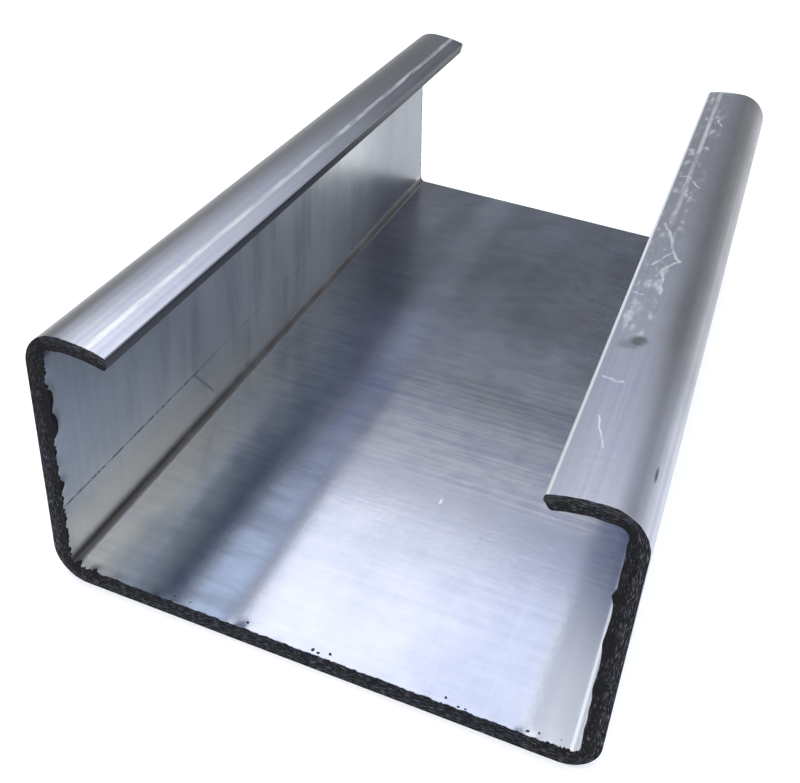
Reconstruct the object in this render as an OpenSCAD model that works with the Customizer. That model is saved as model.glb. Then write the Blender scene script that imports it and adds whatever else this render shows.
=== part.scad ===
// Lipped channel: one strip of zinc-coated steel, roll-formed with four bends and cut to a short length.
// The web lies on the floor, the flanges stand on it and the lips turn back in over the hollow.
// The length runs along y, the front cut is at low y, and the origin is under the middle of the web.

/* [Section] */
// Width over the two flanges, outside to outside
web_w = 100; // [60:0.5:300]
// Height over the web and the lips, outside to outside
flange_h = 51.5; // [36:0.5:120]
// Reach of each lip, from the outside of its flange to its tip
lip_reach = 15.5; // [12:0.5:25]
// Radius of the slight curl by which each lip droops towards the hollow
lip_curl_r = 32; // [25:1:400]
// Thickness of the strip, with its zinc
strip_t = 3.2; // [1.5:0.1:4]

/* [Bends] */
// Inside radius of the four bends
bend_inner_r = 1.6; // [0.5:0.1:4]
// Extra outside radius of the bends, because the strip thins as it stretches round them
bend_thinning = 1.8; // [0.1:0.1:3]

/* [Length] */
// Length over all, from the front of the right flange to the back of the left bend
piece_l = 196.5; // [60:0.5:3000]
// Distance by which the front cut runs out of square, from flange to flange
front_cut_skew = 5.7; // [0:0.1:12]
// Distance by which the back cut runs out of square, from flange to flange
back_cut_skew = 10; // [0:0.1:20]
// Distance by which the back cut leans forward, from the web to the lips
back_cut_lean = 8; // [0:0.1:16]

/* [Hidden] */

// Sides that a full circle is drawn with
circle_sides = 96;
// Room by which a cutting shape passes the metal that it cuts
cut_room = 10;

// Outside radius of the bends, and the flat stretches that run between them
bend_outer_r = bend_inner_r + strip_t + bend_thinning;
web_flat = web_w - 2 * bend_outer_r;
flange_flat = flange_h - 2 * bend_outer_r;
// Angle that the curl turns through between the bend and the lip's tip
lip_sweep = asin((lip_reach - bend_outer_r) / lip_curl_r);

// The lower right quarter of the plane round a centre, out to the given reach
module quadrant(reach) {
    translate([0, -reach]) square(reach);
}

// The hollow's own rounded corner, as far from the bend's centre as the thinning leaves it
module hollow_corner() {
    side = bend_inner_r + bend_thinning;
    translate([-cut_room, -side]) square([cut_room + bend_thinning, side + cut_room]);
    translate([-cut_room, -bend_thinning]) square([cut_room + side, bend_thinning + cut_room]);
    translate([bend_thinning, -bend_thinning]) circle(r = bend_inner_r, $fn = circle_sides);
}

// A bend that turns the strip a quarter round towards its inside, then what follows it
module quarter_bend() {
    translate([0, bend_outer_r]) {
        difference() {
            intersection() {
                circle(r = bend_outer_r, $fn = circle_sides);
                quadrant(2 * bend_outer_r);
            }
            hollow_corner();
        }
        rotate(90) translate([0, -bend_outer_r]) children();
    }
}

// A flat stretch of strip that runs along x with its outside on the x axis, then what follows it
module flat_run(run) {
    square([run, strip_t]);
    translate([run, 0]) children();
}

// The end of the strip, curled a little and cut off square to its own direction at the tip
module curled_lip() {
    reach = 2 * lip_curl_r;
    translate([0, lip_curl_r]) intersection() {
        difference() {
            circle(r = lip_curl_r, $fn = circle_sides);
            circle(r = lip_curl_r - strip_t, $fn = circle_sides);
        }
        quadrant(reach);
        rotate(lip_sweep) mirror([1, 0]) quadrant(reach);
    }
}

// The strip as it leaves the rolls: the web, then the same two bends and lip on either side of it
module section() {
    translate([-web_flat / 2, 0]) square([web_flat, strip_t]);
    for (side = [0, 1])
        mirror([side, 0]) translate([web_flat / 2, 0])
            quarter_bend() flat_run(flange_flat) quarter_bend() curled_lip();
}

// The waste in front of the front cut, which runs slightly across the strip
module front_waste() {
    edge_x = web_w / 2 + cut_room;
    front_y = -piece_l / 2;
    slope = front_cut_skew / web_w;
    cut_y = function (x) front_y + slope * (web_w / 2 - x);
    waste_y = front_y - 2 * cut_room;
    translate([0, 0, -cut_room]) linear_extrude(height = flange_h + 2 * cut_room)
        polygon([
            [-edge_x, waste_y],
            [edge_x, waste_y],
            [edge_x, cut_y(edge_x)],
            [-edge_x, cut_y(-edge_x)]
        ]);
}

// The waste behind the back cut, which runs across the strip and leans forward as it rises
module back_waste() {
    slope = back_cut_skew / web_w;
    lean = back_cut_lean / flange_h;
    turn = atan(slope);
    // Step from the cut's line under the middle of the web to its farthest place, on the left lower bend
    far_step = slope * web_flat / 2 + bend_outer_r * (norm([slope, lean]) - lean);
    side = 2 * (web_w + flange_h);
    translate([0, piece_l / 2 - far_step, 0]) rotate([atan(lean * cos(turn)), 0, -turn])
        translate([-side / 2, 0, -side / 2]) cube(side);
}

// The strip leaves the rolls longer than the piece, and the two cuts take off the rest
module channel() {
    rolled_l = piece_l + 2 * cut_room;
    color("#aab0b5") difference() {
        translate([0, rolled_l / 2, 0]) rotate([90, 0, 0]) linear_extrude(height = rolled_l) section();
        front_waste();
        back_waste();
    }
}

channel();
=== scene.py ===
# %% [markdown]
# # A short length of galvanized steel channel
# The real thing is one strip of zinc-coated steel that rolls have folded four times: a web, two flanges
# and two lips that turn back over the hollow. It was then cut off by heat, which left dark, ragged ends.
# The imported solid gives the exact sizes. This lesson dresses it: first the camera and the light,
# then the strip itself with its relief, then the zinc and the burnt cuts, and last the crumbs of slag.

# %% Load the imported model
import math
import random
import bpy
from mathutils import Matrix, Vector


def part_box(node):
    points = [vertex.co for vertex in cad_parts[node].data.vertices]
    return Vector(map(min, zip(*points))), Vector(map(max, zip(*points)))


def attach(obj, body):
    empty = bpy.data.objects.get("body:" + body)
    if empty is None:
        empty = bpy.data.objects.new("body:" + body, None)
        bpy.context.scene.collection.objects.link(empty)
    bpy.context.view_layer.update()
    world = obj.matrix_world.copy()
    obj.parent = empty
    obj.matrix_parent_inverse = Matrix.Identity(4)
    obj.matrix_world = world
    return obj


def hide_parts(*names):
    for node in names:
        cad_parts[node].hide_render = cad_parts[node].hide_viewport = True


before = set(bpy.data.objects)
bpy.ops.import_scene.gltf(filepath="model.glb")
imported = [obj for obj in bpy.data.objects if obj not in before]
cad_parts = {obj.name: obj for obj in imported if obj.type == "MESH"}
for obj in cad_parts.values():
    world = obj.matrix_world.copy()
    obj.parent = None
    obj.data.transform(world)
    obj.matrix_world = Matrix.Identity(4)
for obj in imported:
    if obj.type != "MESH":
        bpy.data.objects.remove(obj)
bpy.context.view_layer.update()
MM = 0.001

# %% [markdown]
# ## The camera
# A photograph can be matched by eye or worked out. Here the place, the turn and the focal length were
# worked out from the channel's own corners, so the script only has to set them. The camera's three axes
# are built from yaw, pitch and roll, because a matrix leaves no doubt about the order of the turns.

# %% Camera
IMAGE_WIDTH_PX = 800
FOCAL_PX = 1100.756
SENSOR_MM = 36
CAMERA_PLACE_MM = (50.468, -211.802, 141.782)
CAMERA_YAW = math.radians(-17.760)
CAMERA_PITCH = math.radians(-34.021)
CAMERA_ROLL = math.radians(4.026)


def camera_axes(yaw, pitch, roll):
    ahead = Vector((math.sin(yaw) * math.cos(pitch), math.cos(yaw) * math.cos(pitch), math.sin(pitch)))
    level_right = ahead.cross(Vector((0, 0, 1))).normalized()
    level_up = level_right.cross(ahead)
    right = math.cos(roll) * level_right + math.sin(roll) * level_up
    up = math.cos(roll) * level_up - math.sin(roll) * level_right
    return right, up, ahead


right, up, ahead = camera_axes(CAMERA_YAW, CAMERA_PITCH, CAMERA_ROLL)
camera_data = bpy.data.cameras.new("camera")
camera_data.sensor_fit = "HORIZONTAL"
camera_data.sensor_width = SENSOR_MM
camera_data.lens = FOCAL_PX * SENSOR_MM / IMAGE_WIDTH_PX
camera_data.clip_start = 0.01
camera = bpy.data.objects.new("camera", camera_data)
turn = Matrix((right, up, -ahead)).transposed().to_4x4()
camera.matrix_world = Matrix.Translation(Vector(CAMERA_PLACE_MM) * MM) @ turn
bpy.context.scene.collection.objects.link(camera)
bpy.context.scene.camera = camera
print("lens, mm:", round(camera_data.lens, 2))

# %% [markdown]
# ## A helper for node trees
# Trees of nodes make the shapes and the finishes here, and a tree written line by line is long. One small
# function adds a node, sets its options, and fills its sockets: a value is written in, and another
# node's output is linked. The few sums that come up again and again get short names of their own.

# %% Node helpers


def add(tree, kind, options=None, sockets=None):
    made = tree.nodes.new(kind)
    for name, value in (options or {}).items():
        setattr(made, name, value)
    for key, value in (sockets or {}).items():
        socket = made.inputs[key]
        if isinstance(value, bpy.types.NodeSocket):
            tree.links.new(value, socket)
        else:
            socket.default_value = value
    return made


def calc(tree, operation, first, second=0.0, third=0.0):
    found = add(tree, "ShaderNodeMath", {"operation": operation}, {0: first, 1: second, 2: third})
    return found.outputs[0]


def vectors(tree, operation, first, second):
    found = add(tree, "ShaderNodeVectorMath", {"operation": operation}, {0: first, 1: second})
    return found.outputs[0]


def stretch(tree, vector, factors):
    return vectors(tree, "MULTIPLY", vector, factors)


def split(tree, vector):
    return add(tree, "ShaderNodeSeparateXYZ", None, {0: vector}).outputs


def join(tree, x=0.0, y=0.0, z=0.0):
    return add(tree, "ShaderNodeCombineXYZ", None, {0: x, 1: y, 2: z}).outputs[0]


def band(tree, value, low, high, to_low=0.0, to_high=1.0):
    """A soft step: one number below the low limit, another above the high one."""
    limits = {"Value": value, "From Min": low, "From Max": high, "To Min": to_low, "To Max": to_high}
    return add(tree, "ShaderNodeMapRange", {"interpolation_type": "SMOOTHSTEP"}, limits).outputs[0]


def noise(tree, vector, scale=1.0, detail=2.0, roughness=0.5):
    sockets = {"Vector": vector, "Scale": scale, "Detail": detail, "Roughness": roughness}
    return add(tree, "ShaderNodeTexNoise", {"noise_dimensions": "3D"}, sockets).outputs[0]


# %% [markdown]
# ## The studio
# Metal shows its surroundings more than its own colour, so the studio is part of the likeness. One wide
# softbox hangs over the channel, and its far edge is what splits the web into a bright front and a grey
# back. A dimmer strip beyond that edge gives the grey its light, and a dim world fills the rest. The
# white floor turns up into a low wall all round, a profile spun into a dish, so that a low camera still
# sees a plain pale ground.

# %% Floor and wall
FLOOR_MIDDLE = 0.6
FLOOR_RADIUS = 2.4
WALL_CURVE = 0.35
WALL_HEIGHT = 0.9
CURVE_STEPS = 10
DISH_SIDES = 96


def dish_profile():
    points = [(FLOOR_MIDDLE, 0.0), (FLOOR_RADIUS, 0.0)]
    for step in range(1, CURVE_STEPS + 1):
        angle = math.pi / 2 * step / CURVE_STEPS
        points.append((FLOOR_RADIUS + WALL_CURVE * math.sin(angle), WALL_CURVE * (1 - math.cos(angle))))
    points.append((FLOOR_RADIUS + WALL_CURVE, WALL_HEIGHT))
    return points


def dish_mesh():
    rings = dish_profile()
    places = [(0, 0, 0)]
    for radius, height in rings:
        for side in range(DISH_SIDES):
            angle = 2 * math.pi * side / DISH_SIDES
            places.append((radius * math.cos(angle), radius * math.sin(angle), height))
    faces = []
    for side in range(DISH_SIDES):
        following = (side + 1) % DISH_SIDES
        faces.append((0, 1 + side, 1 + following))
        for ring in range(len(rings) - 1):
            near, far = 1 + ring * DISH_SIDES, 1 + (ring + 1) * DISH_SIDES
            faces.append((near + side, far + side, far + following, near + following))
    mesh = bpy.data.meshes.new("studio_floor")
    mesh.from_pydata(places, [], faces)
    mesh.shade_smooth()
    return mesh


floor = bpy.data.objects.new("studio_floor", dish_mesh())
bpy.context.scene.collection.objects.link(floor)
print("floor faces:", len(floor.data.polygons))

# %% Floor paint
FLOOR_COLOUR = (0.86, 0.86, 0.86, 1)
FLOOR_GLOW = 0.3


def new_paint(name):
    """A material whose tree is still empty."""
    made = bpy.data.materials.new(name)
    made.use_nodes = True
    made.node_tree.nodes.clear()
    return made, made.node_tree


def close_paint(tree, surface):
    add(tree, "ShaderNodeOutputMaterial", None, {"Surface": surface.outputs[0]})


floor_paint, ground = new_paint("floor_paint")
path = add(ground, "ShaderNodeLightPath").outputs
seen = calc(ground, "MAXIMUM", path["Is Camera Ray"], path["Is Glossy Ray"])
seen = calc(ground, "MAXIMUM", seen, path["Is Transmission Ray"])
glow = add(ground, "ShaderNodeEmission", None, {"Strength": calc(ground, "MULTIPLY", seen, FLOOR_GLOW)})
matt = add(ground, "ShaderNodeBsdfDiffuse", None, {"Color": FLOOR_COLOUR})
close_paint(ground, add(ground, "ShaderNodeAddShader", None, {0: matt.outputs[0], 1: glow.outputs[0]}))
floor.data.materials.append(floor_paint)
print("floor paint:", len(ground.nodes), "nodes")

# %% World
WORLD_COLOUR = (0.76, 0.87, 1.0, 1)
WORLD_STRENGTH = 0.115

scene = bpy.context.scene
scene.view_settings.view_transform = "Standard"
world = bpy.data.worlds.new("studio_air")
world.use_nodes = True
air = world.node_tree.nodes["Background"].inputs
air["Color"].default_value = WORLD_COLOUR
air["Strength"].default_value = WORLD_STRENGTH
scene.world = world
print("world strength:", WORLD_STRENGTH)

# %% Lamps
SOFTBOX_HEIGHT = 1.2
SOFTBOX_SIZE = (3.2, 2.8)
SOFTBOX_FAR_EDGE = 1.20
SOFTBOX_TURN = math.radians(-9.8)
SOFTBOX_POWER = 48.0
SOFTBOX_COLOUR = (0.95, 0.965, 1.0)
FAR_STRIP_DEPTH = 0.40
FAR_STRIP_POWER = 2.2


def area_lamp(name, size, power, place):
    """A flat lamp that faces down, turned as the softbox is."""
    lamp_data = bpy.data.lights.new(name, "AREA")
    lamp_data.shape = "RECTANGLE"
    lamp_data.size, lamp_data.size_y = size
    lamp_data.energy = power
    lamp_data.color = SOFTBOX_COLOUR
    lamp = bpy.data.objects.new(name, lamp_data)
    lamp.location = place
    lamp.rotation_euler = (0, 0, SOFTBOX_TURN)
    scene.collection.objects.link(lamp)
    return lamp


softbox_place = Vector((0, SOFTBOX_FAR_EDGE - SOFTBOX_SIZE[1] / 2, SOFTBOX_HEIGHT))
softbox = area_lamp("softbox", SOFTBOX_SIZE, SOFTBOX_POWER, softbox_place)
beyond = Vector((0, (SOFTBOX_SIZE[1] + FAR_STRIP_DEPTH) / 2, 0))
beyond.rotate(softbox.rotation_euler)
far_strip_size = (SOFTBOX_SIZE[0], FAR_STRIP_DEPTH)
area_lamp("far_strip", far_strip_size, FAR_STRIP_POWER, softbox_place + beyond)
print("softbox:", SOFTBOX_SIZE, "m at", SOFTBOX_HEIGHT, "m")

# %% [markdown]
# ## The strip in section
# Drawn flat, the channel is a strip seen on edge. Every station along it has a point on the outside and
# a point on the inside, and joining the two gives the thickness there. The sizes are the solid's: its
# width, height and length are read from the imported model, and the rest is written down once here.
# Stations stand closer together at the bends and at the tips, where the line turns.

# %% Sizes of the section, in millimetres
LIP_REACH = 15.5
LIP_CURL_R = 32
STRIP_T = 3.2
BEND_INNER_R = 1.6
BEND_THINNING = 1.8
FRONT_CUT_SKEW = 5.7
BACK_CUT_SKEW = 10
BACK_CUT_LEAN = 8
LIP_STEPS = 44
TIP_CROWDING = 1.5
BEND_STEPS = 16
FLANGE_STEPS = 56
HALF_WEB_STEPS = 62

solid_low, solid_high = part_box("channel")
web_w, piece_l, flange_h = [side / MM for side in solid_high - solid_low]
bend_outer_r = BEND_INNER_R + STRIP_T + BEND_THINNING
bend_x = web_w / 2 - bend_outer_r
top_bend_z = flange_h - bend_outer_r
curl_z = flange_h - LIP_CURL_R
lip_sweep = math.asin((LIP_REACH - bend_outer_r) / LIP_CURL_R)
back_slope = BACK_CUT_SKEW / web_w
back_lean = BACK_CUT_LEAN / flange_h
back_far_step = back_slope * bend_x + bend_outer_r * (math.hypot(back_slope, back_lean) - back_lean)
print("bends, mm:", round(bend_outer_r, 2), "outside,", BEND_INNER_R, "inside")

# %% Outside and inside lines of the right half, from the lip's tip to the middle of the web


def inner_reach(angle):
    """How far the hollow's rounded corner is from the bend's centre, in that direction."""
    side, level = abs(math.cos(angle)), abs(math.sin(angle))
    flat = BEND_INNER_R + BEND_THINNING
    if flat * level <= BEND_THINNING * side:
        return flat / side
    if flat * side <= BEND_THINNING * level:
        return flat / level
    along = BEND_THINNING * (side + level)
    return along + math.sqrt(along ** 2 - 2 * BEND_THINNING ** 2 + BEND_INNER_R ** 2)


def bend_pair(centre_z, angle):
    spokes = (bend_outer_r, inner_reach(angle))
    return [(bend_x + spoke * math.cos(angle), centre_z + spoke * math.sin(angle)) for spoke in spokes]


def lip_pair(angle):
    spokes = (LIP_CURL_R, LIP_CURL_R - STRIP_T)
    return [(bend_x - spoke * math.sin(angle), curl_z + spoke * math.cos(angle)) for spoke in spokes]


def half_section():
    pairs = []
    for step in range(LIP_STEPS):
        share = (step / LIP_STEPS) ** TIP_CROWDING
        pairs.append(lip_pair(lip_sweep * (1 - share)))
    for step in range(BEND_STEPS):
        pairs.append(bend_pair(top_bend_z, math.pi / 2 * (1 - step / BEND_STEPS)))
    for step in range(FLANGE_STEPS):
        height = top_bend_z + (bend_outer_r - top_bend_z) * step / FLANGE_STEPS
        pairs.append([(web_w / 2, height), (web_w / 2 - STRIP_T, height)])
    for step in range(BEND_STEPS):
        pairs.append(bend_pair(bend_outer_r, -math.pi / 2 * step / BEND_STEPS))
    for step in range(HALF_WEB_STEPS + 1):
        across = bend_x * (1 - step / HALF_WEB_STEPS)
        pairs.append([(across, 0), (across, STRIP_T)])
    return pairs


right_half = half_section()
left_half = [[(-x, z) for x, z in pair] for pair in right_half]
stations = left_half + right_half[-2::-1]
print("stations across the strip:", len(stations))

# %% How far along the strip each station is


def middle_of(pair):
    (outer_x, outer_z), (inner_x, inner_z) = pair
    return Vector(((outer_x + inner_x) / 2, (outer_z + inner_z) / 2))


runs = [0.0]
for before, after in zip(stations, stations[1:]):
    runs.append(runs[-1] + (middle_of(after) - middle_of(before)).length)
strip_run = runs[-1]


def run_at(outer_x, outer_z):
    """Run of the station whose outside is nearest to a place in the section."""
    gaps = [math.hypot(pair[0][0] - outer_x, pair[0][1] - outer_z) for pair in stations]
    return runs[gaps.index(min(gaps))]


print("strip before folding, mm:", round(strip_run, 1))

# %% [markdown]
# ## Tips, ridges and slag
# The tips of the lips are the strip's own slit edges, which the mill leaves slightly round, so the strip
# narrows there. A roll left a low ridge along each lip, which catches the light as a bright line. Along
# the front cut the heat left slag on the inside rim, in low waves with a few lumps. All three are numbers
# for each station, so they ride on the section's points as named attributes.

# %% Tip rounding for each station
# Radius of each tip in millimetres, and the share of the thickness that stays flat
LEFT_TIP = (0.35, 0.75)
RIGHT_TIP = (0.8, 0.35)


def tip_share(run):
    (radius, flat), away = (LEFT_TIP, run) if run < strip_run / 2 else (RIGHT_TIP, strip_run - run)
    if away >= radius:
        return 1.0
    return flat + (1 - flat) * math.sqrt(1 - (1 - away / radius) ** 2)


tips = [tip_share(run) for run in runs]
print("rounded stations:", sum(share < 1 for share in tips))

# %% Ridge height for each station
RIDGE_X = 37.9
LEFT_RIDGE = 0.10
RIGHT_RIDGE = 0.03
RIDGE_WIDTH = 0.45

ridge_run = run_at(-RIDGE_X, flange_h)


def ridge_height(run):
    height = LEFT_RIDGE if run < strip_run / 2 else RIGHT_RIDGE
    away = min(run, strip_run - run) - ridge_run
    return height * math.exp(-(away / RIDGE_WIDTH) ** 2)


ridges = [ridge_height(run) for run in runs]
print("ridge, mm: up to", round(max(ridges), 2))

# %% Slag height for each station, and how far the torch leaned under the lips
SLAG_SEED = 7
SLAG_BASE = 0.09
SLAG_WAVES = 9
SLAG_SWING = 1.6
# Lumps of slag: outside place in the section, height and half width, all in millimetres
SLAG_LUMPS = [
    ((-50.0, 33.0), 1.0, 1.7),
    ((-50.0, 38.5), 0.45, 1.8),
    ((-50.0, 21.0), 0.35, 1.0),
    ((-47.5, 0.8), 0.6, 0.6),
    ((-42.0, 0.0), 0.22, 0.5),
    ((50.0, 37.0), 0.55, 0.8),
    ((50.0, 28.0), 0.25, 2.4),
    ((50.0, 18.0), 0.25, 1.4),
]
LIP_UNDERCUT = 0.9

dice = random.Random(SLAG_SEED)
waves = []
for _ in range(SLAG_WAVES):
    rate = dice.uniform(0.5, 2.6)
    phase = dice.uniform(0, 2 * math.pi)
    waves.append((rate, phase, dice.uniform(0.3, 1.0)))
total_weight = sum(weight for _, _, weight in waves)
lumps = [(run_at(*place), height, width) for place, height, width in SLAG_LUMPS]


def slag_height(run):
    swing = sum(weight * math.sin(rate * run + phase) for rate, phase, weight in waves) / total_weight
    height = SLAG_BASE * max(0.0, 0.5 + SLAG_SWING * swing)
    for place, lump, width in lumps:
        height += lump * math.exp(-((run - place) / width) ** 2)
    return height


def undercut_depth(run):
    """How far the torch leaned under each lip, at the inside of the strip."""
    return LIP_UNDERCUT * min(1.0, max(0.0, 1.6 - 1.3 * min(run, strip_run - run) / LIP_REACH))


slag = [slag_height(run) for run in runs]
undercuts = [undercut_depth(run) for run in runs]
print("slag, mm: up to", round(max(slag), 2))

# %% The guide that the node tree reads
guide_places = [(x * MM, 0, z * MM) for side in (0, 1) for x, z in [pair[side] for pair in stations]]
guide_mesh = bpy.data.meshes.new("strip_guide")
guide_mesh.from_pydata(guide_places, [], [])
numbers = {"run": runs, "tip": tips, "ridge": ridges, "slag": slag, "undercut": undercuts}
for name, values in numbers.items():
    guide_mesh.attributes.new(name, "FLOAT", "POINT").data.foreach_set("value", values + values)
channel = bpy.data.objects.new("channel_strip", guide_mesh)
scene.collection.objects.link(channel)
print("guide points:", len(guide_mesh.vertices))

# %% [markdown]
# ## Folding a box into a channel
# A channel could be extruded, but then its cut faces would be single flat polygons with no room for
# relief. Instead the tree starts from a box with many divisions: one side is the run across the strip,
# one the length, one the thickness. Each point looks up its station's outside and inside
# points and moves between them, so the box folds into the channel, closed, with a fine mesh on its cuts.
# The same coordinates stay behind as an attribute, so that a finish can follow the strip round a bend.

# %% Inputs of the folding tree
FOLD_INPUTS = {
    "Geometry": ["Guide"],
    "Int": ["Stations across", "Stations along", "Layers", "Seed"],
    "Float": [
        "Length", "Half width", "Front slope", "Back start", "Back slope", "Back lean",
        "Thickness", "Cut depth", "Ripple",
    ],
    "Material": ["Finish"],
}


def new_tree(title, inputs):
    """An empty tree of geometry nodes, and the sockets of its named inputs."""
    tree = bpy.data.node_groups.new(title, "GeometryNodeTree")
    tree.interface.new_socket(name="Geometry", in_out="OUTPUT", socket_type="NodeSocketGeometry")
    for kind, names in inputs.items():
        for name in names:
            tree.interface.new_socket(name=name, in_out="INPUT", socket_type="NodeSocket" + kind)
    return tree, tree.nodes.new("NodeGroupInput").outputs


fold, given = new_tree("fold_strip", FOLD_INPUTS)
counts = {"Vertices X": given["Stations across"], "Vertices Y": given["Stations along"]}
counts["Vertices Z"] = given["Layers"]
box = add(fold, "GeometryNodeMeshCube", None, {"Size": (1, 1, 1), **counts}).outputs[0]
print("inputs of the folding tree:", sum(len(names) for names in FOLD_INPUTS.values()))

# %% Which station a point of the box belongs to, and that station's numbers
where = add(fold, "GeometryNodeInputPosition").outputs[0]
box_x, box_y, box_z = split(fold, where)
last = calc(fold, "SUBTRACT", given["Stations across"], 1)
station = calc(fold, "ROUND", calc(fold, "MULTIPLY", calc(fold, "ADD", box_x, 0.5), last))
inside_station = calc(fold, "ADD", station, given["Stations across"])


def look_up(kind, value, index):
    """What the guide has at one of its points."""
    options = {"data_type": kind, "domain": "POINT"}
    sockets = {"Geometry": given["Guide"], "Value": value, "Index": index}
    return add(fold, "GeometryNodeSampleIndex", options, sockets).outputs[0]


def station_number(name):
    """One of the guide's named numbers, at this point's station."""
    options = {"data_type": "FLOAT"}
    value = add(fold, "GeometryNodeInputNamedAttribute", options, {"Name": name}).outputs[0]
    return look_up("FLOAT", value, station)


outer = look_up("FLOAT_VECTOR", where, station)
inner = look_up("FLOAT_VECTOR", where, inside_station)
STATION_NUMBERS = ("run", "tip", "ridge", "slag", "undercut")
run, tip, ridge, rim, undercut = [station_number(name) for name in STATION_NUMBERS]
print("numbers looked up for each station:", len(STATION_NUMBERS))

# %% How far along the length a point is: stations crowd towards both cuts, which run out of square
LENGTH_CROWDING = 1.8

swing = calc(fold, "MULTIPLY", box_y, 2)
from_end = calc(fold, "SUBTRACT", 1, calc(fold, "ABSOLUTE", swing))
crowded = calc(fold, "SUBTRACT", 1, calc(fold, "POWER", from_end, LENGTH_CROWDING))
share = calc(fold, "MULTIPLY", calc(fold, "SIGN", swing), crowded)
share = calc(fold, "MULTIPLY_ADD", share, 0.5, 0.5)
layer = calc(fold, "ADD", box_z, 0.5)

layer_place = add(fold, "ShaderNodeMix", {"data_type": "VECTOR"}, {0: layer, 4: outer, 5: inner})
across, _, height = split(fold, layer_place.outputs[1])
from_right = calc(fold, "SUBTRACT", given["Half width"], across)
short = calc(fold, "MULTIPLY", given["Front slope"], from_right)
front_y = calc(fold, "SUBTRACT", short, calc(fold, "DIVIDE", given["Length"], 2))
back_y = calc(fold, "SUBTRACT", given["Back start"], calc(fold, "MULTIPLY", given["Back slope"], across))
back_y = calc(fold, "SUBTRACT", back_y, calc(fold, "MULTIPLY", given["Back lean"], height))
length_here = calc(fold, "SUBTRACT", back_y, front_y)


def in_mm(part):
    """A share of the length at this place, in millimetres."""
    return calc(fold, "DIVIDE", calc(fold, "MULTIPLY", part, length_here), MM)


from_front = in_mm(share)
from_back = in_mm(calc(fold, "SUBTRACT", 1, share))
print("nodes so far:", len(fold.nodes))

# %% How deep in the strip a point is: rounded tips, slag on the inside rim, slow ripples and the ridge
SLAG_FADE = 2.2
SEED_STEP = 13.7
RIPPLE_RATES = (0.035, 0.02, 1)

depth = calc(fold, "MULTIPLY_ADD", box_z, tip, 0.5)
thickness_mm = calc(fold, "DIVIDE", given["Thickness"], MM)
seed_shift = calc(fold, "MULTIPLY", given["Seed"], SEED_STEP)
slag_here = calc(fold, "MULTIPLY", rim, band(fold, from_front, 0, SLAG_FADE, 1, 0))
raised = calc(fold, "ADD", 1, calc(fold, "DIVIDE", slag_here, thickness_mm))
depth = calc(fold, "MULTIPLY", depth, raised)
flat_place = join(fold, run, from_front, seed_shift)
ripple = noise(fold, stretch(fold, flat_place, RIPPLE_RATES), 1, 1)
ripple = calc(fold, "MULTIPLY", ripple, calc(fold, "DIVIDE", given["Ripple"], given["Thickness"]))
depth = calc(fold, "ADD", depth, ripple)
outwards = calc(fold, "SUBTRACT", 1, layer)
ridge = calc(fold, "MULTIPLY", calc(fold, "DIVIDE", ridge, thickness_mm), outwards)
depth = calc(fold, "SUBTRACT", depth, ridge)
print("nodes so far:", len(fold.nodes))

# %% What the cut took: pits, drag lines from the outside to the inside, and the lean under the lips
CUT_FADE = 1.6
DRAG_RATES = (1.1, 0.7, 1)

grain_place = join(fold, run, layer, calc(fold, "ADD", seed_shift, share))
drag = noise(fold, stretch(fold, grain_place, DRAG_RATES), 1, 3, 0.6)
near_front = band(fold, from_front, 0, CUT_FADE, 1, 0)
near_back = band(fold, from_back, 0, CUT_FADE, 1, 0)
bite = calc(fold, "MULTIPLY", calc(fold, "SUBTRACT", near_front, near_back), given["Cut depth"])
bite = calc(fold, "MULTIPLY", bite, drag)
undercut = calc(fold, "MULTIPLY", calc(fold, "MULTIPLY", undercut, layer), near_front)
print("nodes so far:", len(fold.nodes))

# %% Put the point in its place
reach = vectors(fold, "SUBTRACT", inner, outer)
scaled = add(fold, "ShaderNodeVectorMath", {"operation": "SCALE"}, {0: reach, "Scale": depth})
folded = vectors(fold, "ADD", outer, scaled.outputs[0])
place_y = calc(fold, "MULTIPLY_ADD", share, length_here, front_y)
place_y = calc(fold, "ADD", calc(fold, "ADD", place_y, bite), calc(fold, "MULTIPLY", undercut, MM))
final = vectors(fold, "ADD", folded, join(fold, 0.0, place_y))
print("nodes so far:", len(fold.nodes))

# %% Keep the strip's own coordinates in millimetres, the way to the nearer cut and the slag's height
depth_mm = calc(fold, "MULTIPLY", layer, thickness_mm)
marks = {
    "strip": ("FLOAT_VECTOR", join(fold, run, from_front, depth_mm)),
    "to_cut": ("FLOAT", calc(fold, "MINIMUM", from_front, from_back)),
    "slag_mm": ("FLOAT", slag_here),
}
kept = box
for name, (kind, value) in marks.items():
    options = {"data_type": kind, "domain": "POINT"}
    sockets = {"Geometry": kept, "Name": name, "Value": value}
    kept = add(fold, "GeometryNodeStoreNamedAttribute", options, sockets).outputs[0]


def close_tree(tree, geometry, material):
    """End a tree with real geometry that carries its material."""
    real = add(tree, "GeometryNodeRealizeInstances", None, {0: geometry}).outputs[0]
    done = add(tree, "GeometryNodeSetMaterial", None, {"Geometry": real, "Material": material})
    add(tree, "NodeGroupOutput", None, {0: done.outputs[0]})


moved = add(fold, "GeometryNodeSetPosition", None, {"Geometry": kept, "Position": final})
close_tree(fold, moved.outputs[0], given["Finish"])
print("folding tree:", len(fold.nodes), "nodes")

# %% [markdown]
# ## The zinc: where on the strip
# Galvanized strip is a pale, slightly blue metal with marks of its rolling, its handling and its cutting.
# Each mark has a place, so the finish is built of masks: numbers from 0 to 1 that say how much of a mark
# is here. All of them read the strip's own coordinates, so a mark bends round a corner with the strip.
# A painted picture would also do, but masks stay sharp at any size and can be moved by one number.

# %% The finish's tree, and where on the strip a point is
zinc, paint = new_paint("zinc_finish")


def stored(name, output):
    """Something that the folding tree stored on the mesh."""
    return add(paint, "ShaderNodeAttribute", {"attribute_name": name}).outputs[output]


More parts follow.
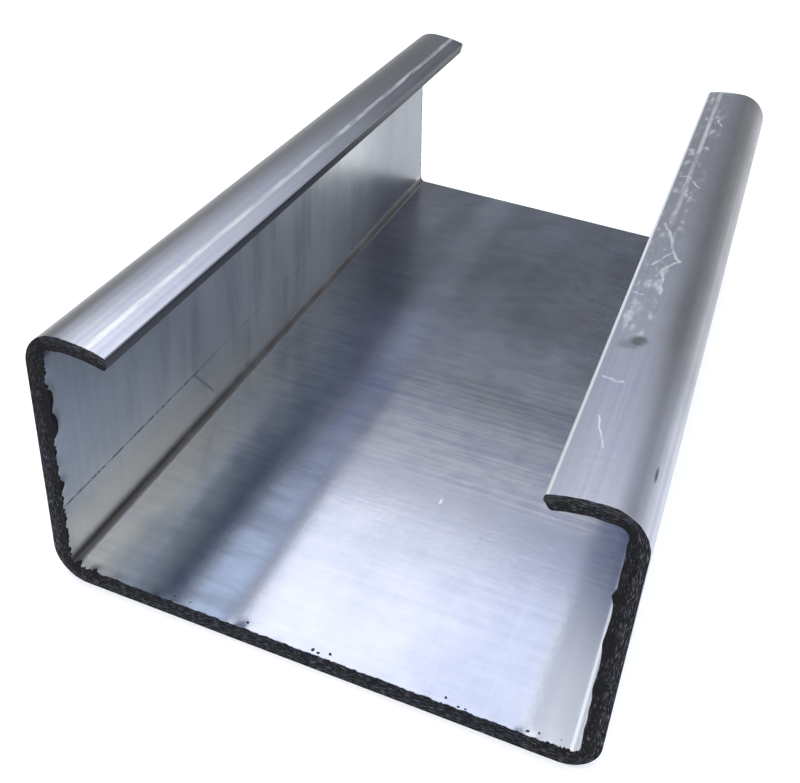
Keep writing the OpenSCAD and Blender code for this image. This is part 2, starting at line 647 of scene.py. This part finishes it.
def ramp(value, low, high, to_low=0.0, to_high=1.0):
    return band(paint, value, low, high, to_low, to_high)


def minus(first, second):
    return calc(paint, "SUBTRACT", first, second)


strip = stored("strip", "Vector")
to_cut = stored("to_cut", "Fac")
slag_mm = stored("slag_mm", "Fac")
run, along, depth = split(paint, strip)
inside = ramp(depth, 1.2, 2.0)
outside = minus(1, inside)
middle_run = strip_run / 2
off_middle = calc(paint, "ABSOLUTE", minus(run, middle_run))
left = ramp(run, middle_run - 1, middle_run + 1, 1, 0)
print("nodes so far:", len(paint.nodes))

# %% Helpers for masks and numbers


def both(first, second):
    """Where two masks overlap, or a mask at part of its strength."""
    return calc(paint, "MULTIPLY", first, second)


def either(first, second):
    return calc(paint, "MAXIMUM", first, second)


def added(base, value, weight):
    """The base with a weighted value on top."""
    return calc(paint, "MULTIPLY_ADD", value, weight, base)


def mix(share, first, second):
    sockets = {0: share, 2: first, 3: second}
    return add(paint, "ShaderNodeMix", {"data_type": "FLOAT"}, sockets).outputs[0]


def near(value, centre, core, fade):
    """1 within a distance of the centre, fading to 0 further off."""
    return ramp(calc(paint, "ABSOLUTE", minus(value, centre)), core, fade, 1, 0)


def blend(tree, share, first, second):
    """A colour between two others."""
    found = add(tree, "ShaderNodeMix", {"data_type": "RGBA"}, {"Factor": share})
    sockets = [one for one in found.inputs if one.type == "RGBA"]
    for socket, value in zip(sockets, (first, second)):
        if isinstance(value, bpy.types.NodeSocket):
            tree.links.new(value, socket)
        else:
            socket.default_value = value
    return [one for one in found.outputs if one.type == "RGBA"][0]


# %% Helpers for marks at a place


def along_at(x, y):
    """Distance from the front cut to a place on the channel, in millimetres."""
    return y + piece_l / 2 - FRONT_CUT_SKEW / web_w * (web_w / 2 - x)


def spot(place, half_sizes):
    """A soft oval mark: 1 in its middle, 0 outside it."""
    scaled = stretch(paint, vectors(paint, "SUBTRACT", strip, (*place, 0)),
                     (1 / half_sizes[0], 1 / half_sizes[1], 0))
    length = add(paint, "ShaderNodeVectorMath", {"operation": "LENGTH"}, {0: scaled})
    return ramp(length.outputs["Value"], 0.35, 1, 1, 0)


def line_mark(where, start, end, half_width):
    """A thin straight mark between two places on the strip: 1 on its line, 0 beside it."""
    step = Vector(end) - Vector(start)
    half = step.length / 2
    way = step.normalized()
    middle = (Vector(start) + Vector(end)) / 2
    offset = vectors(paint, "SUBTRACT", where, (*middle, 0))

    def measured(direction):
        sockets = {0: offset, 1: (*direction, 0)}
        found = add(paint, "ShaderNodeVectorMath", {"operation": "DOT_PRODUCT"}, sockets)
        return found.outputs["Value"]

    forward = near(measured(way), 0, half - 0.2, half + 0.2)
    beside = near(measured((-way.y, way.x)), 0, half_width * 0.4, half_width)
    return both(forward, beside)


print("front cut at the middle, mm:", round(-along_at(0, 0), 2))

# %% [markdown]
# ## Rolled zinc
# Rolling leaves fine lines across the strip and longer streaks along it, and hands leave smudges. Noise
# that is stretched along or across the strip gives all three. The front of the web is bright and almost
# bare of lines up to an edge across it, and polished some way past that edge. The outside is rougher
# than the inside, because the rolls and the stack rub it.

# %% Lines, streaks, smudges and grain
DEPTH_RATE = 9


def strip_noise(across_rate, along_rate, detail, roughness):
    """Noise on the flat strip, by its rates per millimetre across and along it."""
    rates = (across_rate, along_rate, DEPTH_RATE)
    return noise(paint, stretch(paint, strip, rates), 1, detail, roughness)


brush = strip_noise(0.02, 0.8, 2, 0.6)
streak = strip_noise(1.1, 0.010, 2, 0.55)
smudge = strip_noise(0.06, 0.045, 5, 0.6)
grain = strip_noise(0.9, 0.9, 1, 0.5)
mottle = strip_noise(0.2, 0.3, 3, 0.65)
brush_off, smudge_off = minus(brush, 0.5), minus(smudge, 0.5)
streak_off = both(minus(streak, 0.5), mix(inside, 1.4, 0.12))
print("nodes so far:", len(paint.nodes))

# %% The bright front of the web and the polish behind it
# Edge of the bright front: y at the middle of the web in millimetres, slope, and how far it wanders
BRIGHT_EDGE_Y = -42.4
BRIGHT_EDGE_SLOPE = -0.132
BRIGHT_EDGE_WANDER = 8.0
POLISH_PAST = 30
POLISH_FADE = 14

edge_slope = BRIGHT_EDGE_SLOPE + FRONT_CUT_SKEW / web_w
bright_edge = both(minus(run, middle_run), edge_slope)
behind = minus(minus(along, bright_edge), along_at(0, BRIGHT_EDGE_Y))
behind = added(behind, smudge_off, BRIGHT_EDGE_WANDER)
web_right = ramp(run, run_at(38, 0), run_at(43, 0), inside, 0)
bright = both(ramp(behind, -3, 3, 1, 0), web_right)
bright = both(bright, ramp(run, run_at(-32, 0), run_at(-20, 0)))
polished = both(ramp(behind, POLISH_PAST, POLISH_PAST + POLISH_FADE, 1, 0), web_right)
polished = both(polished, ramp(run, run_at(-46, 0), run_at(-42, 0)))
print("bright front ends, mm from the cut:", round(along_at(0, BRIGHT_EDGE_Y), 1))

# %% Base colour and roughness
ZINC_PALE = (0.58, 0.59, 0.665, 1)
ZINC_DULL_AND_PAINTED_SHADE = (0.385, 0.42, 0.54, 1)
DULL_SHARE = 0.4
OUTSIDE_ROUGHNESS = 0.36
INSIDE_ROUGHNESS = 0.22
POLISHED_ROUGHNESS = 0.165
SMOOTHEST = 0.15

line_depth = added(mix(inside, 0.25, 1.8), bright, -1.5)
dull_and_painted_shade = added(DULL_SHARE, smudge_off, mix(bright, 1.5, 0.8))
dull_and_painted_shade = added(dull_and_painted_shade, brush_off, line_depth)
dull_and_painted_shade = added(dull_and_painted_shade, streak_off, 1.4)
dull_and_painted_shade = added(dull_and_painted_shade, both(minus(mottle, 0.5), mix(bright, 1.6, 0.4)), inside)
# Painted shade: the bright front of the web darkens towards its right, where its reflection of the
# softbox is dimmer
shade = both(bright, ramp(run, run_at(8, 0), run_at(36, 0), 0, 0.55))
dull_and_painted_shade = calc(paint, "ADD", dull_and_painted_shade, shade)
colour = blend(paint, dull_and_painted_shade, ZINC_PALE, ZINC_DULL_AND_PAINTED_SHADE)
rough = mix(inside, OUTSIDE_ROUGHNESS, mix(polished, INSIDE_ROUGHNESS, POLISHED_ROUGHNESS))
rough = added(rough, smudge_off, 0.18)
rough = added(rough, brush_off, 0.06)
rough = either(added(rough, streak_off, 0.12), SMOOTHEST)
print("nodes so far:", len(paint.nodes))

# %% [markdown]
# ## Stains, painted light and painted shade
# Each of these is a colour laid over the zinc through a mask. Few are real stains: the left flange has
# dark patches, but most of the marks here are painted light, painted shade and painted reflections of
# the flange and the lips in the web. A stain or painted shade is still metal, but the painted light of
# the white corner, the blue band and the lips' undersides is not, so it is also taken out of the metal
# later on.

# %% Left flange: painted light half way along, a painted greenish reflection, and painted warm light by the lower bend
ZINC_RUBBED_AND_PAINTED_LIGHT = (0.80, 0.81, 0.84, 1)
ZINC_STAIN_AND_PAINTED_SHADE = (0.21, 0.225, 0.26, 1)
FLANGE_PAINTED_REFLECTION_TINT = (0.63, 0.69, 0.66, 1)
CORNER_WARM_PAINTED_LIGHT = (0.60, 0.59, 0.54, 1)

flange_middle = middle_run - run_at(-web_w / 2, flange_h / 2)
left_flange = both(both(near(off_middle, flange_middle, 19, 24), inside), left)
patch = strip_noise(0.030, 0.16, 5, 0.68)
# Painted light: the inside of the left flange is lighter half way along, broken up by the patch noise
flange_painted_light = both(left_flange, near(along, 74, 24, 66))
flange_painted_light = both(flange_painted_light, ramp(patch, 0.36, 0.62, 0.25, 1))
colour = blend(paint, flange_painted_light, colour, ZINC_RUBBED_AND_PAINTED_LIGHT)
murk = both(left_flange, ramp(patch, 0.5, 0.36, 0, 0.22))
colour = blend(paint, murk, colour, ZINC_STAIN_AND_PAINTED_SHADE)
# Painted reflection: a greenish tint over the whole inside of the left flange
colour = blend(paint, both(left_flange, 0.6), colour, FLANGE_PAINTED_REFLECTION_TINT)
rough = mix(left_flange, rough, added(0.24, patch, 0.2))
low_bend = middle_run - run_at(-48.4, 1.6)
# Painted light: warm and pale on both sides of the lower left bend; on the web it is a painted reflection
# of the flange's lower part
warm_painted_light = both(near(off_middle, low_bend, 9, 13.5), both(left, inside))
warm_painted_light = both(warm_painted_light, ramp(along, 25, 95, 0.65, 0.15))
warm_painted_light = both(warm_painted_light, ramp(patch, 0.3, 0.6, 0.7, 1))
colour = blend(paint, warm_painted_light, colour, CORNER_WARM_PAINTED_LIGHT)
print("nodes so far:", len(paint.nodes))

# %% Bands along the left of the web: painted reflections, dark of the shaded left flange and blue of the lip's underside to its right
BLUE_PAINTED_REFLECTION = (0.47, 0.59, 0.79, 1)

# Painted reflection: the web mirrors the shaded upper part of the left flange as a dark band, darkest at
# the front
web_painted_reflection = both(inside, near(run, run_at(-30.5, 0), 2.5, 5.5))
web_painted_reflection = both(web_painted_reflection, ramp(along, 10, 95, 0.6, 0))
front_painted_reflection = both(inside, spot((run_at(-36, 0), 5), (8, 26)))
web_painted_reflection = either(web_painted_reflection, both(front_painted_reflection, 0.45))
colour = blend(paint, web_painted_reflection, colour, ZINC_STAIN_AND_PAINTED_SHADE)
# Painted reflection: the web mirrors the lip's underside as a pale blue band, which is taken out of the
# metal later on
blue_band_painted_reflection = both(inside, near(run, run_at(-19.5, 0), 1.5, 7.5))
blue_band_painted_reflection = both(blue_band_painted_reflection, ramp(along, 6, 75, 0.78, 0.1))
blue_band_painted_reflection = both(blue_band_painted_reflection, ramp(patch, 0.35, 0.6, 0.65, 1))
colour = blend(paint, blue_band_painted_reflection, colour, BLUE_PAINTED_REFLECTION)
print("nodes so far:", len(paint.nodes))

# %% Painted shade on the back of the left flange and of the lips and on the outside of the upper bends, and painted light under the lips
LIP_BLUE_PAINTED_LIGHT = (0.66, 0.76, 0.94, 1)
UPPER_BEND_PAINTED_SHADE = (0.19, 0.19, 0.185, 1)

lip_start = middle_run - run_at(-bend_x, flange_h)
# Painted shade: the inside of the left flange and the outside of the lips darken towards the back
flange_back_painted_shade = both(left_flange, ramp(along, 118, 160, 0, 0.9))
lip_back_painted_shade = both(outside, ramp(along, 50, 165, 0, mix(left, 0.5, 1)))
lip_back_painted_shade = both(lip_back_painted_shade, ramp(off_middle, lip_start - 22, lip_start - 4))
colour = blend(paint, either(flange_back_painted_shade, lip_back_painted_shade), colour, ZINC_STAIN_AND_PAINTED_SHADE)
# Painted light: the undersides of the lips are pale blue, as if lit by the web below them
lip_under_painted_light = both(inside, ramp(off_middle, lip_start - 2, lip_start + 1))
colour = blend(paint, lip_under_painted_light, colour, LIP_BLUE_PAINTED_LIGHT)
rough = mix(lip_under_painted_light, rough, 0.5)
# Painted shade: the outside of the upper bends is dark, and on the left more so towards the back
bend_shade_end = mix(left, lip_start + 2.5, lip_start + 5)
upper_bend_painted_shade = both(outside, ramp(off_middle, lip_start - 2.5, bend_shade_end, 1, 0))
upper_bend_painted_shade = both(upper_bend_painted_shade, mix(left, ramp(along, 8, 60, 0.12, 0.72), 0.85))
upper_bend_painted_shade = both(upper_bend_painted_shade, ramp(off_middle, lip_start - 36, lip_start - 10))
colour = blend(paint, upper_bend_painted_shade, colour, UPPER_BEND_PAINTED_SHADE)
print("nodes so far:", len(paint.nodes))

# %% White corner: painted light, a pale matt patch at the front of the right lower bend
ZINC_WHITE_SCRATCH_AND_PAINTED_LIGHT = (0.86, 0.88, 0.92, 1)

white_corner_painted_light = both(near(run, run_at(44.5, 0), 2.5, 9.5), inside)
white_corner_painted_light = both(white_corner_painted_light, ramp(along, 10, 52, 1, 0))
colour = blend(paint, white_corner_painted_light, colour, ZINC_WHITE_SCRATCH_AND_PAINTED_LIGHT)
print("nodes so far:", len(paint.nodes))

# %% [markdown]
# ## Painted shade in the bends, lines and scratches
# Painted shade darkens the inside of each bend, a worn roll draws a broken line along a flange, and
# whatever slides over the channel scratches its lips first. The long marks are bands of the run, broken
# up by noise. Each scratch is a chain of straight lines, and a slow noise bends them so that none looks
# ruled.

# %% Painted shade in the bends, and the broken line along the left flange with a scratch that crosses it
BEND_CREASE_PAINTED_SHADE = (0.105, 0.096, 0.092, 1)
SCUFF_DARK = (0.10, 0.105, 0.12, 1)
ROLL_LINE_Z = 16.3
CROSSING_TOP = (run_at(-web_w / 2, 16.1), along_at(-46.8, -46.7))
CROSSING_FOOT = (run_at(-web_w / 2, 7.0), along_at(-46.8, -38.8))

high_bend = middle_run - run_at(-48.4, flange_h - 1.6)
# Painted shade: a dark line in the inside of the lower left bend and of both upper bends
low_crease_painted_shade = both(near(off_middle, low_bend, 0.5, 1.9), left)
crease_painted_shade = both(either(low_crease_painted_shade, near(off_middle, high_bend, 1.2, 2.6)), inside)
crease_painted_shade = both(crease_painted_shade, ramp(smudge, 0.15, 0.5, 0.65, 1))
colour = blend(paint, crease_painted_shade, colour, BEND_CREASE_PAINTED_SHADE)
rough = mix(crease_painted_shade, rough, 0.48)

roll_line = middle_run - run_at(-web_w / 2, ROLL_LINE_Z)
dashes = strip_noise(0.3, 0.45, 3, 0.7)
line = both(near(off_middle, roll_line, 0.08, 0.34), ramp(dashes, 0.38, 0.54, 0.3, 1))
line = both(line, ramp(along, 38, 62, 1, 0.15))
crossing = both(line_mark(strip, CROSSING_TOP, CROSSING_FOOT, 0.5), 0.4)
line = both(either(line, crossing), inside)
colour = blend(paint, line, colour, SCUFF_DARK)
print("nodes so far:", len(paint.nodes))

# %% Rubbed metal: the ridge along each lip, scuffs on the right lip and a fleck on the web; a painted highlight along the right lip's tip
worn = strip_noise(0.9, 0.09, 4, 0.65)
cloud = strip_noise(0.42, 0.16, 4, 0.7)
ridge_line = near(off_middle, middle_run - ridge_run, 0.25, 0.7)
ridge_line = both(both(ridge_line, outside), ramp(worn, 0.35, 0.6, 0.25, 1))
ridge_line = both(ridge_line, either(left, ramp(along, 85, 105, 0.1, 1)))
lip_place = both(near(run, strip_run - ridge_run, 1.6, 3.6), near(along, 115, 62, 85))
scuff = both(both(lip_place, outside), ramp(cloud, 0.5, 0.66, 0, 0.6))
fleck = both(inside, spot((run_at(8.1, 0), along_at(8.1, -49.2)), (0.4, 1.3)))
# Painted highlight: a pale line along the rounded tip of the right lip
right_tip_painted_highlight = both(near(run, strip_run - 0.5, 0.2, 0.5), outside)
rubbed_and_painted_highlight = either(either(ridge_line, scuff), either(fleck, right_tip_painted_highlight))
colour = blend(paint, rubbed_and_painted_highlight, colour, ZINC_RUBBED_AND_PAINTED_LIGHT)
print("nodes so far:", len(paint.nodes))

# %% Scratches on the right lip: corners of each line across and along the channel, and half width, in mm
LIP_SCRATCHES = [
    ([(36.4, -5.3), (39.0, -13.2), (40.1, -19.2), (42.0, -23.2)], 0.34),
    ([(42.0, -23.2), (39.3, -26.0), (39.9, -30.0), (40.6, -37.3)], 0.32),
    ([(37.1, -24.8), (40.1, -19.2)], 0.24),
    ([(35.8, 21.0), (38.1, 19.4), (41.1, 13.3)], 0.30),
    ([(39.5, 59.2), (41.1, 53.9)], 0.32),
    ([(35.3, -36.6), (37.8, -37.9)], 0.28),
    ([(36.1, -65.9), (38.2, -67.2), (39.6, -67.2)], 0.24),
    ([(37.8, -76.9), (39.9, -85.3)], 0.22),
]
SWERVE_RATES = (0.28, 0.22, DEPTH_RATE)
SWERVE_MM = (1.4, 3.0, 0)


def scratch_mask():
    """All the scratches of the list, joined into one mask; a slow noise bends their lines."""
    sockets = {"Vector": stretch(paint, strip, SWERVE_RATES), "Scale": 1.0, "Detail": 1.0}
    swerve = add(paint, "ShaderNodeTexNoise", {"noise_dimensions": "3D"}, sockets).outputs["Color"]
    swerve = stretch(paint, vectors(paint, "SUBTRACT", swerve, (0.5, 0.5, 0.5)), SWERVE_MM)
    bent = vectors(paint, "ADD", strip, swerve)
    mask = 0.0
    for corners, half_width in LIP_SCRATCHES:
        places = [(run_at(x, flange_h), along_at(x, y)) for x, y in corners]
        for start, end in zip(places, places[1:]):
            mask = either(mask, line_mark(bent, start, end, half_width))
    return mask


scratches = both(both(scratch_mask(), outside), ramp(worn, 0.36, 0.56, 0.12, 0.62))
colour = blend(paint, scratches, colour, ZINC_WHITE_SCRATCH_AND_PAINTED_LIGHT)
print("scratches:", len(LIP_SCRATCHES))

# %% Dark marks: a smudge and a nick on the right lip, and painted shade on the slit edges at the tips
SLIT_EDGE_PAINTED_SHADE = (0.07, 0.072, 0.08, 1)

near_side = spot((run_at(38.4, flange_h), along_at(38.4, -55.4)), (2.6, 2.2))
far_side = spot((run_at(39.8, flange_h), along_at(39.8, -54.1)), (2.0, 2.6))
dirt = both(either(both(near_side, 0.6), far_side), ramp(cloud, 0.3, 0.6, 0.35, 1))
nick = spot((run_at(48.3, 49.4), along_at(48.3, -86.0)), (0.32, 2.6))
dark = both(either(both(dirt, 0.8), nick), outside)
colour = blend(paint, dark, colour, SCUFF_DARK)
# Painted shade: the slit edges at the tips face the hollow and are painted almost black
slit_edge_painted_shade = ramp(minus(middle_run, off_middle), 0.02, 0.09, 1, 0)
colour = blend(paint, slit_edge_painted_shade, colour, SLIT_EDGE_PAINTED_SHADE)
rough = mix(slit_edge_painted_shade, rough, 0.5)
print("nodes so far:", len(paint.nodes))

# %% [markdown]
# ## The burnt cuts
# The heat of the cut left dark scale on both ends, and it creeps on to the zinc in a ragged rim that
# reaches further on the inside. The mesh already says how far each point is from a cut and how high
# the slag stands, so two ramps find the scale. Scale and the painted light of the white corner, the
# blue band and the lips' undersides aren't metal, so they are taken out of the metal mask. A fine bump
# gives the lines and the pits a relief too small for the mesh.

# %% Scale on the cuts and the slag
SCALE_DARK = (0.008, 0.009, 0.013, 1)
SCALE_BROWN = (0.022, 0.019, 0.016, 1)
PIT_RATES = (0.8, 0.8, 1.1)

edge = strip_noise(0.7, 0.25, 3, 0.65)
web_only = ramp(off_middle, 38, 44, 1, 0)
creep = both(mix(inside, 0.2, mix(web_only, 0.9, 0.3)), ramp(edge, 0.35, 0.75))
burnt = ramp(minus(to_cut, creep), -0.06, 0.10, 1, 0)
burnt = either(burnt, both(inside, ramp(slag_mm, 0.10, 0.18)))
pits = noise(paint, stretch(paint, strip, PIT_RATES), 1, 3, 0.6)
brown = both(ramp(pits, 0.42, 0.7), mix(web_only, 1.0, 0.35))
colour = blend(paint, burnt, colour, blend(paint, brown, SCALE_DARK, SCALE_BROWN))
rough = mix(burnt, rough, ramp(pits, 0.3, 0.7, 0.72, 0.92))
print("nodes so far:", len(paint.nodes))

# %% What is still metal, the fine bump, and the surface
SCALE_GLOSS = 0.12
BUMP_STRENGTH = 0.12
BUMP_DISTANCE = 0.0004

bare = either(both(scratches, 0.6), both(white_corner_painted_light, 0.7))
bare = either(bare, either(lip_under_painted_light, blue_band_painted_reflection))
bare = either(bare, both(either(scuff, right_tip_painted_highlight), 0.5))
metal = both(minus(1, burnt), minus(1, bare))
height = added(both(grain, 0.1), brush, mix(bright, 0.24, 0.08))
height = added(height, streak_off, 0.4)
height = added(height, both(pits, burnt), 0.35)
sockets = {"Strength": BUMP_STRENGTH, "Distance": BUMP_DISTANCE, "Height": height}
bump = add(paint, "ShaderNodeBump", None, sockets).outputs[0]
sockets = {"Base Color": colour, "Metallic": metal, "Roughness": rough, "Normal": bump}
sockets["Specular IOR Level"] = SCALE_GLOSS
close_paint(paint, add(paint, "ShaderNodeBsdfPrincipled", None, sockets))
print("zinc finish:", len(paint.nodes), "nodes")

# %% [markdown]
# ## The folded channel
# Now the tree gets its numbers. A modifier could stay on the object, but the strip is easier to hand on
# as a plain mesh, so the result is taken once and the modifier goes. Edges sharper than an angle stay
# crisp, such as the rims of the cuts, and everything else is shaded smooth.

# %% Fold the strip and keep it as a plain mesh
STATIONS_ALONG = 72
LAYERS = 7
CUT_DEPTH = 0.08
RIPPLE = 0.08
FOLD_SEED = 3
SHARP_ANGLE = math.radians(38)


def set_inputs(modifier, values):
    for item in modifier.node_group.interface.items_tree:
        if item.in_out == "INPUT" and item.name in values:
            modifier[item.identifier] = values[item.name]


def made_plain(piece, tree, values):
    """Run a tree on a piece, and keep what it makes as the piece's own mesh."""
    modifier = piece.modifiers.new(tree.name, "NODES")
    modifier.node_group = tree
    set_inputs(modifier, values)
    graph = bpy.context.evaluated_depsgraph_get()
    mesh = bpy.data.meshes.new_from_object(piece.evaluated_get(graph), depsgraph=graph)
    piece.modifiers.clear()
    piece.data = mesh
    mesh.name = piece.name
    mesh.shade_smooth()
    return mesh


strip_mesh = made_plain(channel, fold, {
    "Stations across": len(stations),
    "Stations along": STATIONS_ALONG,
    "Layers": LAYERS,
    "Length": piece_l * MM,
    "Half width": web_w / 2 * MM,
    "Front slope": FRONT_CUT_SKEW / web_w,
    "Back start": (piece_l / 2 - back_far_step) * MM,
    "Back slope": back_slope,
    "Back lean": back_lean,
    "Thickness": STRIP_T * MM,
    "Cut depth": CUT_DEPTH * MM,
    "Ripple": RIPPLE * MM,
    "Seed": FOLD_SEED,
    "Finish": zinc,
})
strip_mesh.set_sharp_from_angle(angle=SHARP_ANGLE)
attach(channel, "root")
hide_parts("channel")
print("channel faces:", len(strip_mesh.polygons))

# %% [markdown]
# ## Crumbs of slag
# A torch spits drops of burnt metal, and some cool on the zinc just behind the cut. They could be placed
# by hand, but they repeat, so a small tree does it: a line of points follows the cut's inner edge, a
# seeded chance keeps some of them, and each gets a lump of its own size and turn.

# %% Burnt finish of the crumbs
CRUMB_BURNT = (0.02, 0.019, 0.018, 1)
CRUMB_GRAIN_RATE = 2200

crumb_paint, burn = new_paint("crumb_finish")
crumb_place = add(burn, "ShaderNodeTexCoord").outputs["Object"]
crumb_grain = noise(burn, crumb_place, CRUMB_GRAIN_RATE, 3, 0.6)
crumb_colour = blend(burn, band(burn, crumb_grain, 0.4, 0.7), CRUMB_BURNT, SCALE_BROWN)
sockets = {"Base Color": crumb_colour, "Roughness": band(burn, crumb_grain, 0.3, 0.7, 0.6, 0.9)}
close_paint(burn, add(burn, "ShaderNodeBsdfPrincipled", None, sockets))
print("crumb finish:", len(burn.nodes), "nodes")

# %% Points behind the cut, some of them kept by chance
CRUMB_INPUTS = {
    "Vector": ["Start", "End"],
    "Int": ["Points", "Seed"],
    "Float": ["Chance", "Smallest", "Largest", "Nearest", "Farthest"],
    "Material": ["Finish"],
}
CRUMB_SIDEWAYS = 0.0008

spit, asked = new_tree("slag_crumbs", CRUMB_INPUTS)


def chance(low, high, shift):
    seed = calc(spit, "ADD", asked["Seed"], shift)
    sockets = {2: low, 3: high, "Seed": seed}
    return add(spit, "FunctionNodeRandomValue", {"data_type": "FLOAT"}, sockets).outputs[1]


ends = {"Count": asked["Points"], "Start Location": asked["Start"], "Offset": asked["End"]}
cut_line = add(spit, "GeometryNodeMeshLine", {"mode": "END_POINTS"}, ends).outputs[0]
size = chance(asked["Smallest"], asked["Largest"], 0)
back = chance(asked["Nearest"], asked["Farthest"], 1)
shift = join(spit, chance(-CRUMB_SIDEWAYS, CRUMB_SIDEWAYS, 2), back)
spread = add(spit, "GeometryNodeSetPosition", None, {"Geometry": cut_line, "Offset": shift}).outputs[0]
dropped = calc(spit, "GREATER_THAN", chance(0.0, 1.0, 3), asked["Chance"])
sockets = {"Geometry": spread, "Selection": dropped}
left_over = add(spit, "GeometryNodeDeleteGeometry", {"domain": "POINT"}, sockets).outputs[0]
print("nodes so far:", len(spit.nodes))

# %% A dented lump on each point
LUMP_DENT = (0.9, -0.45)
LUMP_DEEP = 0.7
LUMP_HIGH = 0.6

ball = add(spit, "GeometryNodeMeshIcoSphere", None, {"Radius": 1.0, "Subdivisions": 3}).outputs[0]
ball_place = add(spit, "GeometryNodeInputPosition").outputs[0]
dent = calc(spit, "MULTIPLY_ADD", noise(spit, ball_place, 1.3, 2, 0.6), *LUMP_DENT)
normal = add(spit, "GeometryNodeInputNormal").outputs[0]
dent = add(spit, "ShaderNodeVectorMath", {"operation": "SCALE"}, {0: normal, "Scale": dent}).outputs[0]
lump = add(spit, "GeometryNodeSetPosition", None, {"Geometry": ball, "Offset": dent}).outputs[0]
lump_turn = join(spit, 0.0, 0.0, chance(0.0, 2 * math.pi, 4))
deep, high = [calc(spit, "MULTIPLY", size, part) for part in (LUMP_DEEP, LUMP_HIGH)]
sockets = {"Points": left_over, "Instance": lump, "Rotation": lump_turn}
sockets["Scale"] = join(spit, size, deep, high)
placed = add(spit, "GeometryNodeInstanceOnPoints", None, sockets).outputs[0]
close_tree(spit, placed, asked["Finish"])
print("crumb tree:", len(spit.nodes), "nodes")

# %% Crumbs along the front cut
CRUMB_POINTS = 60
CRUMB_CHANCE = 0.16
CRUMB_SMALL = 0.10
CRUMB_LARGE = 0.42
CRUMB_BACK = (0.5, 1.9)
CRUMB_SEED = 11


def cut_place(x):
    """The place of the front cut's inner edge on the web, in metres."""
    return Vector((x, FRONT_CUT_SKEW / web_w * (web_w / 2 - x) - piece_l / 2, STRIP_T)) * MM


crumbs = bpy.data.objects.new("slag_crumbs", bpy.data.meshes.new("slag_crumbs"))
scene.collection.objects.link(crumbs)
crumb_mesh = made_plain(crumbs, spit, {
    "Start": cut_place(-bend_x),
    "End": cut_place(bend_x),
    "Points": CRUMB_POINTS,
    "Seed": CRUMB_SEED,
    "Chance": CRUMB_CHANCE,
    "Smallest": CRUMB_SMALL * MM,
    "Largest": CRUMB_LARGE * MM,
    "Nearest": CRUMB_BACK[0] * MM,
    "Farthest": CRUMB_BACK[1] * MM,
    "Finish": crumb_paint,
})
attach(crumbs, "root")
print("crumb faces:", len(crumb_mesh.polygons))
